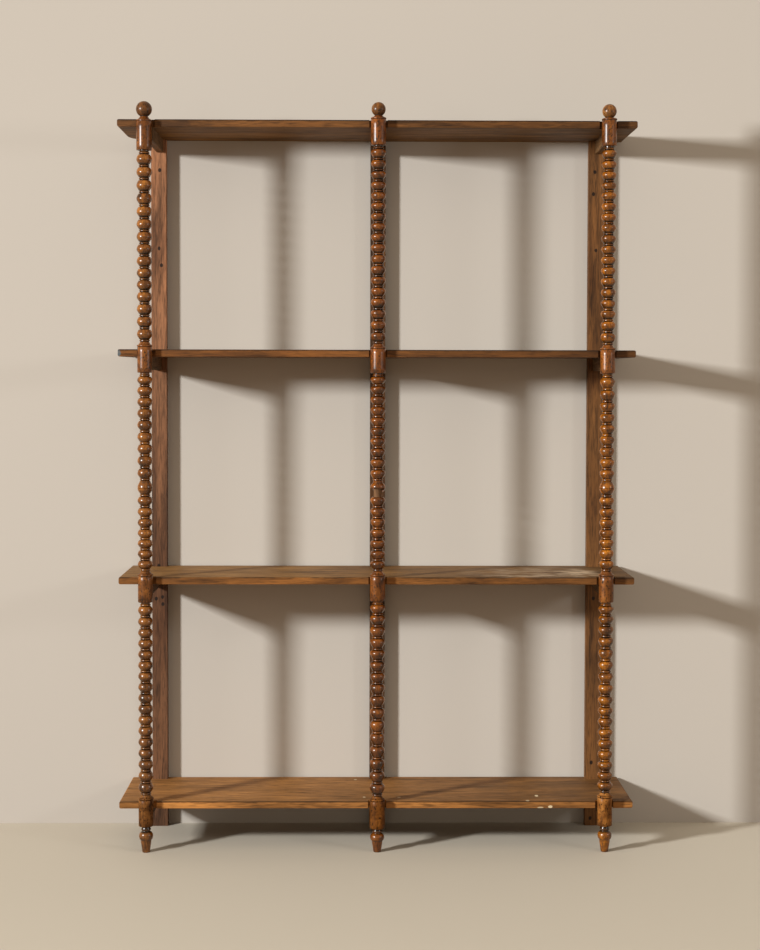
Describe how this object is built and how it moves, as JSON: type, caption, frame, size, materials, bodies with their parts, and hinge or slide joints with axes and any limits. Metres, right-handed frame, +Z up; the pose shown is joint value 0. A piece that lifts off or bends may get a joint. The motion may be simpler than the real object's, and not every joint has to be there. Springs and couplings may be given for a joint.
{
  "type": "bookcase",
  "caption": "Tall open bookcase with plank shelves carried on bobbin-turned front posts with ball finials, and on flat uprights at the back.",
  "frame": {"origin": "on the floor, under the middle of the bookcase's overall width and depth", "axes": "+Z up, +Y towards the wall behind the bookcase, +X to the right as seen from the front"},
  "size_m": [1.432, 0.3249, 2.0735],
  "materials": {
    "shelf_wood": "worn wax over stain",
    "upright_wood": "worn wax over stain",
    "turned_wood": "glossy old varnish",
    "bearer_wood": "worn dark stain",
    "nail_iron": "dark, dull"
  },
  "bodies": {
    "root": {"shelf_bottom": "shelf_wood", "shelf_lower": "shelf_wood", "shelf_upper": "shelf_wood", "shelf_top": "shelf_wood", "upright_left": "upright_wood", "post_left_lower": "turned_wood", "post_left_upper": "turned_wood", "bearer_left_bottom": "bearer_wood", "bearer_left_lower": "bearer_wood", "bearer_left_upper": "bearer_wood", "bearer_left_top": "bearer_wood", "upright_centre": "upright_wood", "post_centre_lower": "turned_wood", "post_centre_upper": "turned_wood", "bearer_centre_bottom": "bearer_wood", "bearer_centre_lower": "bearer_wood", "bearer_centre_upper": "bearer_wood", "bearer_centre_top": "bearer_wood", "upright_right": "upright_wood", "post_right_lower": "turned_wood", "post_right_upper": "turned_wood", "bearer_right_bottom": "bearer_wood", "bearer_right_lower": "bearer_wood", "bearer_right_upper": "bearer_wood", "bearer_right_top": "bearer_wood", "shelf_nails": "nail_iron", "upright_nails": "nail_iron"}
  },
  "joints": []
}
